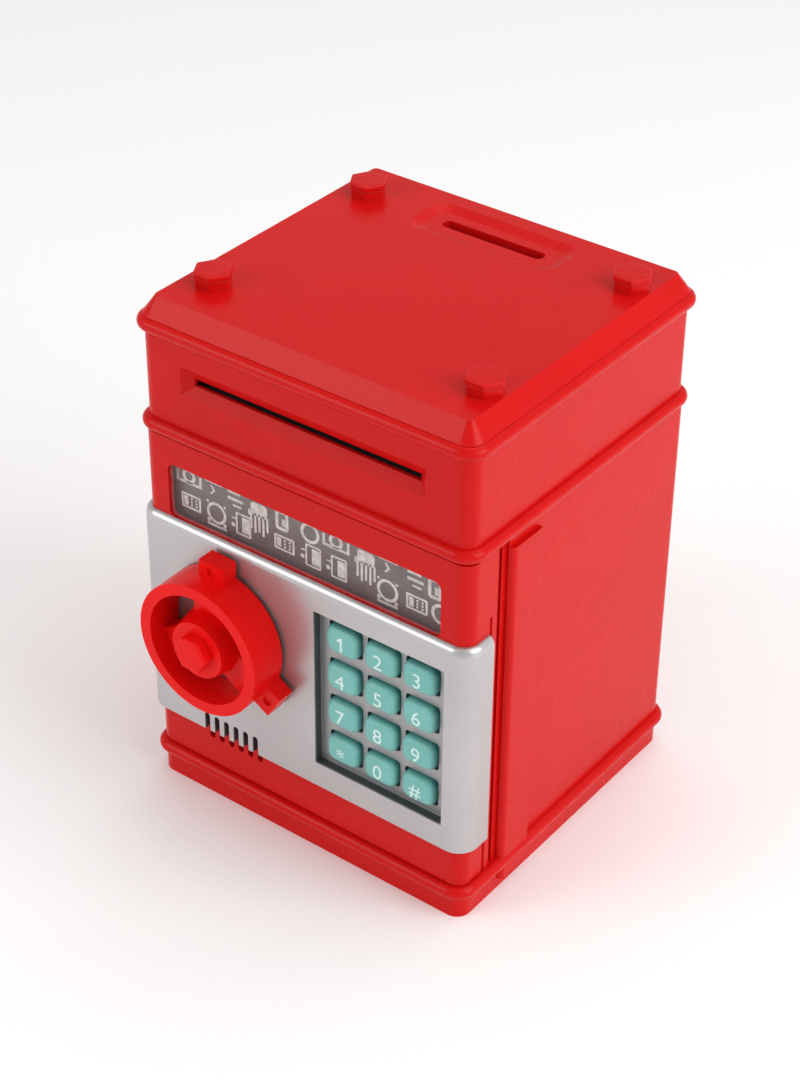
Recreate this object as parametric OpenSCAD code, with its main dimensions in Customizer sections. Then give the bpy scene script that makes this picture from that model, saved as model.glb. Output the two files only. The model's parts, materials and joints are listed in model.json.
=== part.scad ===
/* [Case] */
// Width across the lower side walls
case_w = 127; // [124:0.5:130]
// Depth from the front wall to the back wall
case_d = 118.4; // [116:0.2:120]
// Height of the flat top of the lid
case_h = 184; // [182:0.5:188]
// Radius of the upright corners
corner_r = 5; // [4:0.5:6]
// Thickness of the moulded walls
wall = 2.4; // [2:0.1:2.8]
// Height of the base tray
base_h = 13; // [12.5:0.1:13.5]
// Height at which the head starts
head_z = 137.8; // [137.8:0.1:138.4]
// How far the head walls stand inside the lower walls
head_inset = 0.6; // [0.3:0.1:0.8]
// Radius of the half-round beads
bead_r = 2.4; // [2:0.1:2.6]

/* [Lid] */
// Height of the sloping border of the lid
lid_slope_h = 6.2; // [5:0.1:6.5]
// How far the flat top stands inside the head walls
lid_top_inset = 3.7; // [3:0.1:4.5]
// Length of the coin slot
coin_slot_l = 38.6; // [30:0.2:40]
// Width of the coin slot
coin_slot_w = 4.6; // [4.4:0.1:5]
// Distance of the coin slot behind the middle
coin_y = 39.1; // [38:0.1:40]
// Circumradius of the hexagonal bolt heads
bolt_r = 6.6; // [6:0.1:7]
// Height of the bolt heads
bolt_h = 5; // [4:0.1:6]

/* [Note feed] */
// Length of the note slot
note_slot_l = 86; // [76:1:88]
// Height of the note slot
note_slot_h = 2.6; // [2.4:0.1:3]
// Height of the middle of the note slot
note_z = 159.3; // [159:0.1:160]

/* [Door] */
// Height of the middle of the window
window_z = 118; // [117.5:0.1:118.5]
// Width of the window
window_w = 106.4; // [100:0.2:107]
// Height of the window
window_h = 20; // [18:0.2:20.4]
// How far the front panel stands out
panel_t = 2.2; // [2:0.1:2.4]
// Lowest edge of the front panel
panel_z0 = 29; // [28:0.5:30]
// Highest edge of the front panel
panel_z1 = 108.3; // [107:0.1:108.6]
// Largest opening angle of the door in degrees
door_open = 100; // [60:1:100]

/* [Keypad] */
// Width of one key
key_w = 12.4; // [11.5:0.1:12.5]
// Height of one key
key_h = 9.8; // [9:0.1:10]
// Distance from key to key sideways
key_px = 14.8; // [14.6:0.1:15]
// Distance from key to key upwards
key_pz = 14.45; // [14.3:0.05:14.5]
// Travel of a key
key_travel = 1.2; // [0.8:0.1:1.2]

/* [Hand wheel] */
// Outer radius of the wheel
wheel_r = 23.8; // [22:0.1:24.5]
// Inner radius of the rim
wheel_in = 19.7; // [19:0.1:20]
// Depth of the wheel from front to back
wheel_d = 13.6; // [12:0.1:14]
// Width of a spoke
spoke_w = 12.4; // [9:0.1:13]
// How far the spokes lie behind the face of the rim
spoke_sink = 6.2; // [3.4:0.1:8]

/* [Hidden] */
$fn = 64;
eps = 0.01;
fit = 0.05;

red = [0.82, 0.10, 0.09];
silver = [0.78, 0.76, 0.77];
teal = [0.45, 0.77, 0.72];
steel = [0.62, 0.63, 0.66];
dark = [0.12, 0.12, 0.13];
board_green = [0.10, 0.36, 0.20];
cream = [0.88, 0.86, 0.80];

hx = case_w / 2;
hy = case_d / 2;
head_x = hx - head_inset;
head_y = hy - head_inset;
head_floor = 2.4;
lid_z = case_h - lid_slope_h;
base_floor = 4.4;

// Upright screw posts that tie base, shell and head together
posts = [for (x = [-1, 1], y = [-32, 52.2]) [x * (hx - 7), y]];
post_r = 5;
post_bore_r = 1.45;
screw_r = 1.4;
screw_hole_r = 1.6;
screw_head_r = 2.8;
screw_head_h = 1.8;
sunk_r = 3.2;
sunk_d = 2.4;
small_hole_r = 1.05;
small_head_r = 2;
small_head_h = 0.9;

// Door hinge axis and clearances
hinge_x = hx - 2.5;
hinge_y = -hy + 13.8;
barrel_r = 2.5;
pin_r = 1;
pin_depth = 8.3;
door_z0 = base_h + 0.5;
door_z1 = head_z - 0.5;
door_end_l = -hy + 11.6;
front_in = -hy + wall;
cover_y = -hy + 8.8;
cover_t = 2.2;
side_front = hinge_y + 5.8;

// Keypad pocket and key stack
pad_x = 31.6;
pad_z = 68.5;
pad_w = 50;
pad_h = 60.3;
pad_floor_y = -hy + 1.3;
pad_floor_t = 1.6;
pad_wall = 1.4;
key_front_y = -hy - 1.7;
key_flange_y = pad_floor_y + pad_floor_t + 0.1;
sheet_y = key_flange_y + 1 + key_travel + 0.1;

// Hand wheel axis, latch pinion and bolt
wheel_x = -29.1;
wheel_z = 75.5;
wheel_back = -hy - panel_t - 1.1;
lug_angles = [-32, 88, 208];
lug_w = 9.8;
lug_reach = 5.8;
lug_h = 6.4;
dimple_r = 1.7;
hub_r = 10.1;
hub_foot_r = 12.6;
nut_h = 3.2;
nut_chamfer = 0.7;
nut_pin_r = 1.5;
shaft_r = 3;
shaft_clear = 0.08;
tooth_m = 0.8;
latch_teeth = 10;
latch_pitch_r = tooth_m * latch_teeth / 2;
latch_y = cover_y + cover_t + 0.3;
latch_t = 2.8;
latch_throw = latch_pitch_r * PI / 2;
latch_tip = -hx + wall + 1.7 + latch_throw;
latch_end = -4.7;
keeper_z = wheel_z + latch_pitch_r + 4.1;
keeper_x = -hx + wall + 0.3;
plunger_x = -22.1;
plunger_r = 1.3;
shaft_tip_r = 2.2;

// Speaker slots
slot_x = -29.1;
slot_z0 = 24;
slot_z1 = 36;
slot_pitch = 4.12;
slot_r = 1.1;

// Roller feed
drive_y = -38;
drive_z = 152.8;
drive_roller_r = 6.3;
pinch_z = 163.7;
pinch_roller_r = 4.2;
roller_x = 20;
roller_w = 10;
drive_teeth = 20;
idler_teeth = 28;
pinion_teeth = 10;
idler_y = drive_y + tooth_m * (drive_teeth + idler_teeth) / 2;
motor_y = idler_y + tooth_m * (idler_teeth + pinion_teeth) / 2;
gear_x = -50.4;
gear_t = 3.2;
side_x = 43.4;
side_t = 2.4;
side_top = 168;
motor_r = 9;
boss_r = 3;
drive_shaft_r = 2;
pinch_shaft_r = 1.5;
idler_pin_r = 1.5;
guide_y0 = -54.2;
guide_y1 = -30.5;
guide_z = 157.2;
guide_t = 1.4;
sensor_y = -48.5;

// Battery bay
bay_y = 28.4;
bay_w = 58.8;
bay_d = 46;
bay_top = 20;
bay_wall = 1.3;
tab_x = 20;
tab_y = bay_y - bay_d / 2 - 5;
tab_r = 4.8;
cover_lap = 2.4;
cover_d = 2.4;
cover_gap = 0.1;
cell_r = 7.1;
cell_l = 50.5;
cell_z = 12.3;
cell_pitch = 15.1;
contact_t = 0.5;
nub_h = 1.4;

// ---- shared shapes ----

// Rectangle of half sizes a and b with round corners of radius r
module rrect(a, b, r) {
    square([2 * (a - r), 2 * b], center = true);
    square([2 * a, 2 * (b - r)], center = true);
    for (i = [-1, 1], j = [-1, 1]) translate([i * (a - r), j * (b - r)]) circle(r);
}

// Upright block on a rounded rectangle
module rblock(a, b, r, z0, z1) {
    translate([0, 0, z0]) linear_extrude(z1 - z0) rrect(a, b, r);
}

// Box given by its two opposite corners
module span(p, q) {
    translate(p) cube(q - p);
}

// Section of a bead: half round outwards, with a root inside the wall
module bead2d() {
    intersection() {
        circle(bead_r, $fn = 32);
        translate([0, -bead_r]) square([bead_r, 2 * bead_r]);
    }
    translate([-1, -bead_r]) square([1, 2 * bead_r]);
}

// Half-round bead that runs round a rounded rectangle
module bead(a, b, r, z) {
    for (q = [0:3]) {
        long = q % 2 == 0 ? b : a;
        out = q % 2 == 0 ? a : b;
        rotate([0, 0, 90 * q]) translate([out, 0, z]) rotate([90, 0, 0])
            linear_extrude(2 * (long - r), center = true) bead2d();
        rotate([0, 0, 90 * q]) translate([out - r, long - r, z])
            rotate_extrude(angle = 90) translate([r, 0]) bead2d();
    }
}

// Cylinder along Y from y0 to y1
module ycyl(r, x, z, y0, y1) {
    translate([x, y1, z]) rotate([90, 0, 0]) cylinder(r = r, h = y1 - y0);
}

// Cylinder along X from x0 to x1
module xcyl(r, y, z, x0, x1) {
    translate([x0, y, z]) rotate([0, 90, 0]) cylinder(r = r, h = x1 - x0);
}

// Upright plate in the XZ plane with round corners, from y0 to y1
module yplate(a, b, r, x, z, y0, y1) {
    translate([x, y1, z]) rotate([90, 0, 0]) linear_extrude(y1 - y0) rrect(a, b, r);
}

// Pan-head screw that points along -Z, with its seat at the origin
module screw(r, l, head_r, head_h) {
    difference() {
        cylinder(r = head_r, h = head_h, $fn = 32);
        for (a = [0, 90]) rotate([0, 0, a])
            translate([0, 0, head_h]) cube([head_r * 1.2, 0.7, 1.4], center = true);
    }
    translate([0, 0, -l]) cylinder(r = r, h = l, $fn = 32);
}

// Angle at which the flank of a gear tooth stands at radius rr, in degrees
function inv_angle(rb, rr) = sqrt(pow(rr / rb, 2) - 1) * 180 / PI - acos(rb / rr);

// Spur gear outline: tooth 0 is centred on the +X axis
module gear2d(teeth) {
    pitch = tooth_m * teeth / 2;
    rb = pitch * cos(20);
    root = max(pitch - 1.15 * tooth_m, 0.7 * pitch);
    tip = pitch + 0.85 * tooth_m;
    half = 90 / teeth - 0.16 / pitch * 90 / PI + inv_angle(rb, pitch);
    start = max(rb, root) + eps;
    steps = 4;
    flank = [for (i = [0:steps]) let (rr = start + (tip - start) * i / steps)
        [rr, half - inv_angle(rb, rr)]];
    circle(root + eps);
    for (k = [0:teeth - 1]) rotate(k * 360 / teeth) polygon(concat(
        [[0.8 * root, -0.8 * root * sin(half)]],
        [for (p = flank) [p[0] * cos(p[1]), -p[0] * sin(p[1])]],
        [for (i = [steps:-1:0]) [flank[i][0] * cos(flank[i][1]), flank[i][0] * sin(flank[i][1])]],
        [[0.8 * root, 0.8 * root * sin(half)]]
    ));
}

// Gear with its axis along X and tooth 0 towards +Y
module xgear(teeth, y, z, bore, turn = 0) {
    translate([gear_x, y, z]) rotate([90, 0, 90]) linear_extrude(gear_t) difference() {
        rotate(turn) gear2d(teeth);
        circle(bore);
    }
}

// Raised upright strip on both side walls
module side_strips(z0, z1) {
    strip_y0 = side_front;
    strip_y1 = -24.2;
    proud = 1.6;
    front_r = 2.4;
    back_r = 0.9;
    for (s = [0, 1]) mirror([s, 0, 0]) translate([0, 0, z0]) linear_extrude(z1 - z0) {
        translate([hx - 1, strip_y0 + front_r])
            square([1 + proud - back_r, strip_y1 - strip_y0 - front_r]);
        translate([hx + proud - front_r, strip_y0 + front_r]) circle(front_r);
        translate([hx + proud - back_r, strip_y0 + front_r])
            square([back_r, strip_y1 - strip_y0 - front_r - back_r]);
        translate([hx + proud - back_r, strip_y1 - back_r]) circle(back_r);
        translate([hx - 1, strip_y0]) square([proud - front_r + 1, front_r]);
    }
}

// ---- base ----

module base_plate() color(red) difference() {
    union() {
        difference() {
            union() {
                rblock(hx, hy, corner_r, 0, base_h);
                bead(hx, hy, corner_r, base_h - bead_r - 0.1);
                side_strips(4, base_h);
            }
            rblock(hx - wall, hy - wall, corner_r - wall + 0.4, base_floor, base_h + 1);
        }
        for (p = posts) translate([p[0], p[1], 1]) cylinder(r = post_r, h = base_h - 1);
        translate([hinge_x - 0.8, hinge_y, 1]) cylinder(r = 3.2, h = base_h - 1);
    }
    for (p = posts) translate(p) {
        translate([0, 0, -1]) cylinder(r = sunk_r, h = sunk_d + 1);
        cylinder(r = screw_hole_r, h = base_h + 1);
    }
    translate([hinge_x, hinge_y, base_floor]) cylinder(r = pin_r + fit, h = base_h);
    span([-bay_w / 2, bay_y - bay_d / 2, -1], [bay_w / 2, bay_y + bay_d / 2, base_floor + 1]);
    span([-bay_w / 2 - cover_lap - 0.2, bay_y - bay_d / 2 - cover_lap - 0.2, -1],
        [bay_w / 2 + cover_lap + 0.2, bay_y + bay_d / 2 + cover_lap + 0.2, cover_d]);
    translate([tab_x, tab_y, -1]) cylinder(r = tab_r + 0.2, h = cover_d + 1);
    translate([tab_x, tab_y, 0]) cylinder(r = small_hole_r, h = base_floor + 1);
}

module battery_tray() color(dark) {
    a = bay_w / 2;
    b = bay_d / 2;
    translate([0, bay_y, 0]) {
        difference() {
            span([-a - bay_wall, -b - bay_wall, base_floor], [a + bay_wall, b + bay_wall, bay_top + 1.6]);
            span([-a, -b, base_floor - 1], [a, b, bay_top]);
        }
    }
}

function cell_y(i) = bay_y + (i - 1) * cell_pitch;
function cell_dir(i) = i == 1 ? -1 : 1;

module battery_cells() color([0.16, 0.42, 0.30]) for (i = [0:2]) {
    translate([0, cell_y(i), cell_z]) rotate([0, 90 * cell_dir(i), 0]) {
        translate([0, 0, -cell_l / 2 + 1]) cylinder(r = cell_r, h = cell_l, $fn = 48);
        translate([0, 0, cell_l / 2 + 1]) cylinder(r = 2.6, h = nub_h, $fn = 32);
    }
}

module battery_contacts() color(steel) {
    a = bay_w / 2;
    for (i = [0:2], s = [-1, 1]) translate([s * (a - contact_t / 2), cell_y(i), cell_z])
        cube([contact_t, 11, 12], center = true);
    for (i = [0:2]) translate([0, cell_y(i), cell_z]) rotate([0, 90 * cell_dir(i), 0])
        translate([0, 0, cell_l / 2 + 1 + nub_h])
            cylinder(r = 2, h = a - contact_t - cell_l / 2 - 1 - nub_h + eps, $fn = 32);
}

// Coil spring from z = 0 to h, swept along its helix
module coil(r, wire, turns, h) {
    per_turn = 14;
    n = turns * per_turn;
    sides = 6;
    rise = h - 2 * wire;
    function ring(i) = let (a = i * 360 / per_turn, z = wire + rise * i / n)
        [for (k = [0:sides - 1]) let (b = k * 360 / sides)
            [(r + wire * cos(b)) * cos(a), (r + wire * cos(b)) * sin(a), z + wire * sin(b)]];
    pts = [for (i = [0:n]) each ring(i)];
    polyhedron(points = pts, faces = concat(
        [for (i = [0:n - 1], k = [0:sides - 1]) let (q = (k + 1) % sides)
            [i * sides + k, (i + 1) * sides + k, (i + 1) * sides + q, i * sides + q]],
        [[for (k = [0:sides - 1]) k]],
        [[for (k = [sides - 1:-1:0]) n * sides + k]]
    ));
}

module battery_springs() color(steel) for (i = [0:2]) {
    gap = bay_w / 2 - contact_t - cell_l / 2 + 1;
    translate([0, cell_y(i), cell_z]) rotate([0, -90 * cell_dir(i), 0])
        translate([0, 0, cell_l / 2 - 1]) coil(3.2, 0.35, 3, gap);
}

module battery_cover() color(red) {
    difference() {
        union() {
            span([-bay_w / 2 - cover_lap, bay_y - bay_d / 2 - cover_lap, cover_gap],
                [bay_w / 2 + cover_lap, bay_y + bay_d / 2 + cover_lap, cover_d - 0.2]);
            translate([tab_x, tab_y, cover_gap]) cylinder(r = tab_r, h = cover_d - 0.2 - cover_gap);
        }
        // finger grip grooves
        for (i = [-2:2]) span([-14, bay_y + i * 4 - 0.6, 0], [14, bay_y + i * 4 + 0.6, 0.7]);
        translate([tab_x, tab_y, 0]) cylinder(r = small_head_r + 0.3, h = 1.2);
        translate([tab_x, tab_y, 0]) cylinder(r = small_hole_r, h = 4);
    }
}

module battery_cover_screw() color(steel) translate([tab_x, tab_y, 1.2])
    rotate([180, 0, 0]) screw(1, 5, small_head_r, small_head_h);

module base_screws() color(steel) for (p = posts) translate([p[0], p[1], sunk_d])
    rotate([180, 0, 0]) screw(screw_r, 20, screw_head_r, screw_head_h);

// ---- main shell ----

module main_shell() color(red) difference() {
    union() {
        difference() {
            union() {
                rblock(hx, hy, corner_r, base_h, head_z);
                side_strips(base_h, head_z - 3.3);
            }
            rblock(hx - wall, hy - wall, corner_r - wall + 0.4, base_h - 1, head_z + 1);
            span([-hx - 5, -hy - 5, base_h - 1], [0, door_end_l + 0.7, head_z + 1]);
            span([0, -hy - 5, base_h - 1], [hx + 5, side_front, head_z + 1]);
        }
        for (p = posts) translate([p[0], p[1], base_h]) cylinder(r = post_r, h = head_z - base_h);
        hinge_shroud();
    }
    for (p = posts) translate([p[0], p[1], base_h - 1]) {
        cylinder(r = post_bore_r, h = 14);
        translate([0, 0, head_z - base_h - 12]) cylinder(r = post_bore_r, h = 14);
    }
}

// Curved inner wall that closes the gap behind the hinge barrel
module hinge_shroud() {
    translate([hinge_x, hinge_y, base_h]) {
        intersection() {
            difference() {
                cylinder(r = 5.4, h = head_z - base_h);
                translate([0, 0, -1]) cylinder(r = 3.8, h = head_z);
            }
            translate([-10, 0, 0]) cube([10, 10, head_z - base_h]);
        }
        translate([-0.1, 3.8, 0]) cube([1.5, 2.4, head_z - base_h]);
    }
}

// Bent plate on the side wall, with a lip in front of the latch bolt
module latch_keeper() color(steel) {
    z0 = keeper_z - 7;
    z1 = keeper_z + 7;
    lip_y = cover_y + 0.8;
    span([-hx + wall, door_end_l + 1.1, z0], [keeper_x + 1.1, -36.3, z1]);
    span([keeper_x, lip_y, z0], [keeper_x + 1.1, door_end_l + 1.2, z1]);
    span([keeper_x, lip_y, z0], [keeper_x + 4.6, lip_y + 1.2, z1]);
}

module hinge_pins() color(steel) translate([hinge_x, hinge_y, 0]) {
    translate([0, 0, base_floor]) cylinder(r = pin_r, h = door_z0 + pin_depth - 0.8 - base_floor);
    translate([0, 0, door_z1 - pin_depth + 0.8]) cylinder(r = pin_r, h = pin_depth + 8);
}

// ---- head and lid ----

module note_funnel() {
    mouth_w = note_slot_l + 7;
    mouth_h = note_slot_h + 7.6;
    depth = 2.9;
    hull() {
        translate([-mouth_w / 2, -head_y - eps, note_z + 0.7 - mouth_h / 2]) cube([mouth_w, eps, mouth_h]);
        translate([-note_slot_l / 2, -head_y + depth, note_z - note_slot_h / 2])
            cube([note_slot_l, eps, note_slot_h]);
    }
    span([-note_slot_l / 2, -head_y, note_z - note_slot_h / 2],
        [note_slot_l / 2, -head_y + 6, note_z + note_slot_h / 2]);
}

note_out = [[-37, -29, 0], [37, -13.4, 0]];
board_posts = [for (x = [-6, 48], y = [10, 28]) [x, y]];

module head_shell() color(red) difference() {
    union() {
        difference() {
            union() {
                rblock(head_x, head_y, corner_r, head_z, lid_z);
                bead(head_x, head_y, corner_r, head_z + bead_r + 0.1);
                bead(head_x, head_y, corner_r, lid_z - bead_r);
            }
            difference() {
                rblock(head_x - wall, head_y - wall, corner_r - wall + 0.4, head_z + head_floor, lid_z + 1);
                translate([hinge_x - 0.8, hinge_y, head_z]) cylinder(r = 3, h = 10);
            }
        }
        span([-50, -head_y + wall - 0.1, 151], [50, -head_y + 4.2, 169]);
        for (p = board_posts) translate([p[0], p[1], head_z]) cylinder(r = 3, h = 150 - head_z);
    }
    note_funnel();
    span([note_out[0][0], note_out[0][1], head_z - 1], [note_out[1][0], note_out[1][1], head_z + 4]);
    span([-22.2, coin_y - 4.8, head_z - 1], [22.2, coin_y + 4.8, head_z + 4]);
    for (p = posts) translate([p[0], p[1], head_z - 1]) cylinder(r = screw_hole_r, h = 5);
    for (p = board_posts) translate([p[0], p[1], 143]) cylinder(r = 1, h = 8);
    translate([hinge_x, hinge_y, head_z - 1]) cylinder(r = pin_r + fit, h = 9.6);
}

module head_screws() color(steel) {
    for (p = posts) translate([p[0], p[1], head_z + head_floor])
        screw(screw_r, 11, screw_head_r, screw_head_h);
}

bolt_shank_r = 2.5;
lid_bolts_at = [[-49.4, -38.4], [-49.4, 38.4], [52.2, -38.4], [52.2, 38.4]];

module top_lid() color(red) difference() {
    union() {
        hull() {
            rblock(head_x + 0.5, head_y + 0.5, corner_r + 0.5, lid_z, lid_z + 0.3);
            rblock(head_x - lid_top_inset, head_y - lid_top_inset, 1.6, case_h - 0.01, case_h);
        }
        rblock(head_x - wall - 0.2, head_y - wall - 0.2, corner_r - wall + 0.2, lid_z - 3, lid_z + 0.1);
    }
    difference() {
        rblock(head_x - wall - 2.2, head_y - wall - 2.2, 1.5, lid_z - 4, case_h - wall);
        span([-coin_slot_l / 2 - 12, coin_y - 12.4, lid_z - 5], [coin_slot_l / 2 + 12, coin_y + 12.4, case_h]);
        for (p = lid_bolts_at) translate([p[0], p[1], 0]) cylinder(r = 4.6, h = case_h);
    }
    span([-coin_slot_l / 2 - 13, coin_y - 13.4, lid_z - 5], [coin_slot_l / 2 + 13, coin_y + 18, lid_z]);
    // dished surround of the coin slot
    hull() {
        translate([0, coin_y - 0.3, case_h - 1.3]) linear_extrude(eps) rrect(24, 6.6, 4.4);
        translate([0, coin_y - 0.3, case_h + eps]) linear_extrude(eps) rrect(27.6, 10.2, 6);
    }
    translate([0, coin_y, lid_z - 5]) linear_extrude(12) rrect(coin_slot_l / 2, coin_slot_w / 2, 2);
    for (p = lid_bolts_at) translate([p[0], p[1], lid_z - 5]) cylinder(r = bolt_shank_r + fit, h = 20);
}

module hex_bolt() {
    tier = 0.6 * bolt_h;
    cylinder(r = bolt_r - 0.5, h = tier, $fn = 6);
    translate([0, 0, tier - 0.01]) cylinder(r = bolt_r - 0.9, h = 0.32, $fn = 6);
    translate([0, 0, tier + 0.3]) cylinder(r = bolt_r, h = bolt_h - tier - 0.8, $fn = 6);
    translate([0, 0, bolt_h - 0.5]) cylinder(r1 = bolt_r, r2 = bolt_r - 0.5, h = 0.5, $fn = 6);
}

module lid_bolts() color(red) for (p = lid_bolts_at) translate([p[0], p[1], case_h]) {
    hex_bolt();
    translate([0, 0, -6]) cylinder(r = bolt_shank_r, h = 6.1);
}

module coin_chute() color(cream) difference() {
    union() {
        span([-22, coin_y - 4.6, head_z - 4.8], [22, coin_y + 4.6, lid_z - 0.2]);
        span([-26, coin_y - 7.6, head_z + head_floor], [26, coin_y + 7.6, head_z + head_floor + 1.4]);
    }
    span([-20.8, coin_y - 3.4, head_z - 6], [20.8, coin_y + 3.4, lid_z + 1]);
}

// ---- note feed ----

module feed_frame() color(dark) difference() {
    floor_z = head_z + head_floor;
    union() {
        span([-side_x - side_t, -52, floor_z], [-side_x, 7, side_top]);
        span([side_x, -52, floor_z], [side_x + side_t, -29.5, side_top]);
        span([-side_x - 0.1, guide_y0, guide_z - guide_t], [side_x + 0.1, guide_y1, guide_z]);
        span([-side_x - 0.1, -46.5, floor_z], [side_x + 0.1, guide_y1, floor_z + 1.2]);
    }
    for (s = [-1, 1]) span([s * roller_x - 6.5, drive_y - 6.6, 150], [s * roller_x + 6.5, drive_y + 6.6, 158]);
    xcyl(drive_shaft_r + 0.06, drive_y, drive_z, -60, 60);
    xcyl(pinch_shaft_r + 0.06, drive_y, pinch_z, -60, 60);
    xcyl(idler_pin_r + 0.02, idler_y, drive_z, -60, -30);
    xcyl(boss_r + 0.1, motor_y, drive_z, -60, -30);
}

module note_guide_upper() color(dark) difference() {
    under = guide_z + 4.2;
    union() {
        span([-side_x, guide_y0, under], [side_x, guide_y1, under + guide_t]);
        span([-side_x, guide_y0, under + guide_t - 0.1], [side_x, guide_y0 + 1.2, under + 4]);
    }
    for (s = [-1, 1]) span([s * roller_x - 6.5, drive_y - 5.2, 160], [s * roller_x + 6.5, drive_y + 5.2, 164]);
    span([-side_x - 1, drive_y - 2, 162.0], [side_x + 1, drive_y + 2, 164]);
    translate([0, sensor_y, 160]) cylinder(r = 1.9, h = 4);
}

module note_sensor() color(board_green) {
    z = guide_z + 5.7;
    span([-7, sensor_y - 3.9, z], [7, sensor_y + 4.1, z + 1.2]);
    translate([0, sensor_y, z - 1.3]) cylinder(r = 1.6, h = 1.4, $fn = 32);
    span([-5, sensor_y - 3.1, z + 1.2], [-1, sensor_y - 0.7, z + 2.5]);
    span([1.5, sensor_y - 3.1, z + 1.2], [5.5, sensor_y + 2.1, z + 2.7]);
}

module feed_motor() color(steel) difference() {
    union() {
        xcyl(motor_r, motor_y, drive_z, -side_x, -20);
        xcyl(boss_r, motor_y, drive_z, -side_x - side_t, -side_x);
        xcyl(2, motor_y, drive_z, -20, -18);
    }
    xcyl(1 + fit, motor_y, drive_z, -60, -24);
}

module motor_bracket() color(cream) difference() {
    span([-40, motor_y - 8, head_z + head_floor], [-23, motor_y + 8, drive_z - 2]);
    xcyl(motor_r + fit, motor_y, drive_z, -60, 0);
}

module motor_pinion() color([0.85, 0.65, 0.25]) {
    xgear(pinion_teeth, motor_y, drive_z, 0.5);
    xcyl(1, motor_y, drive_z, gear_x - 1.2, -26);
}

module idler_pin() color(steel) {
    xcyl(idler_pin_r, idler_y, drive_z, gear_x - 0.6, -side_x);
    xcyl(2.6, idler_y, drive_z, gear_x - 1.6, gear_x - 0.4);
}

module idler_gear() color(cream) xgear(idler_teeth, idler_y, drive_z, idler_pin_r + 0.06, 180 / idler_teeth);

module drive_gear() color(cream) xgear(drive_teeth, drive_y, drive_z, drive_shaft_r);

module drive_shaft() color(steel) xcyl(drive_shaft_r, drive_y, drive_z, gear_x - 1, side_x + side_t + 1.5);

module drive_rollers() color(dark) for (s = [-1, 1]) difference() {
    xcyl(drive_roller_r, drive_y, drive_z, s * roller_x - roller_w / 2, s * roller_x + roller_w / 2);
    xcyl(drive_shaft_r, drive_y, drive_z, -60, 60);
}

module pinch_shaft() color(steel) xcyl(pinch_shaft_r, drive_y, pinch_z, -side_x - side_t - 1, side_x + side_t + 1);

module pinch_rollers() color(cream) for (s = [-1, 1]) difference() {
    xcyl(pinch_roller_r, drive_y, pinch_z, s * roller_x - roller_w / 2, s * roller_x + roller_w / 2);
    xcyl(pinch_shaft_r, drive_y, pinch_z, -60, 60);
}

module main_board() color(board_green) {
    difference() {
        span([-9, 7, 150], [51, 31, 151.6]);
        for (p = board_posts) translate([p[0], p[1], 149]) cylinder(r = 1.1, h = 4);
    }
    span([14, 14, 151.6], [26, 24, 153.4]);
    for (i = [0:2]) translate([33 + 5 * i, 19, 151.6]) cylinder(r = 2, h = 6, $fn = 32);
    span([-3, 12, 151.6], [3, 26, 156]);
    span([8, 26.5, 151.6], [40, 29.5, 153]);
}

// ---- door ----

// Outline of the door: front wall, both corners and the start of the side walls
module door_band(off, z0, z1) {
    intersection() {
        rblock(hx + off, hy + off, corner_r + off, z0, z1);
        union() {
            span([-hx - 9, -hy - 9, z0], [0, door_end_l, z1]);
            span([0, -hy - 9, z0], [hx + 9, hinge_y, z1]);
        }
    }
}

module speaker_slots(y0, y1) {
    for (i = [0:5]) translate([slot_x + (i - 2.5) * slot_pitch, y1, 0]) rotate([90, 0, 0])
        linear_extrude(y1 - y0) {
            translate([-slot_r, slot_z0 + slot_r]) square([2 * slot_r, slot_z1 - slot_z0 - 2 * slot_r]);
            for (z = [slot_z0 + slot_r, slot_z1 - slot_r]) translate([0, z]) circle(slot_r, $fn = 32);
        }
}

door_bosses = [for (x = [-50, 50], z = [19.5, 133.2]) [x, z]];

module door_shell() color(red) difference() {
    union() {
        difference() {
            door_band(0, door_z0, door_z1);
            rblock(hx - wall, hy - wall, corner_r - wall + 0.4, door_z0 + wall, door_z1 - wall);
            span([-hx + wall, cover_y - 0.6, door_z0 - 1], [hinge_x - 3, 0, door_z1 + 1]);
        }
        translate([hinge_x, hinge_y, door_z0]) cylinder(r = barrel_r, h = door_z1 - door_z0);
        for (p = door_bosses) ycyl(3, p[0], p[1], front_in - 0.1, cover_y - 0.6);
    }
    for (z = [door_z0 - 1, door_z1 - pin_depth])
        translate([hinge_x, hinge_y, z]) cylinder(r = pin_r + fit, h = pin_depth + 1);
    yplate(window_w / 2, window_h / 2, 2.6, 0, window_z, -hy - 1, front_in + 1);
    span([pad_x - pad_w / 2 - pad_wall - 0.1, -hy - 1, pad_z - pad_h / 2 - pad_wall - 0.1],
        [pad_x + pad_w / 2 + pad_wall + 0.1, front_in + 1, pad_z + pad_h / 2 + pad_wall + 0.1]);
    ycyl(shaft_r + shaft_clear, wheel_x, wheel_z, -hy - 1, front_in + 1);
    speaker_slots(-hy - 1, front_in + 1);
    for (p = door_bosses) ycyl(small_hole_r, p[0], p[1], front_in + 0.6, cover_y);
    // small step in the hinge-side edge above the window's foot
    span([hx - 0.5, -48.6, door_z0 - 1], [hx + 1, -47.2, 114]);
}

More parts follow.
